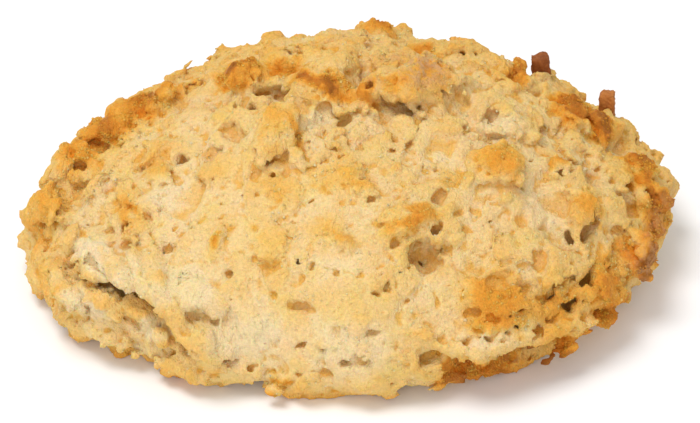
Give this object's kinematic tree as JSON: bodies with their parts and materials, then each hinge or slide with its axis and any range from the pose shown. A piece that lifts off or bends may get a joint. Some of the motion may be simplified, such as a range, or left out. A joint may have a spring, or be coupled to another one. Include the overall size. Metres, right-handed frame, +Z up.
{
  "type": "rock cake",
  "caption": "Oval, craggy baked rock cake with browned lips, gas holes and a ledge along one side, resting on its flat base.",
  "frame": {"origin": "on the flat base, under the middle of the cake's box", "axes": "+X along the longest extent towards the rounder end, +Y towards the side without the ledge, +Z up"},
  "size_m": [0.0904, 0.0674, 0.0309],
  "materials": {
    "baked_dough": "dry baked crust, pale and golden with brown crags"
  },
  "bodies": {
    "root": {"rock_cake": "baked_dough"}
  },
  "joints": []
}
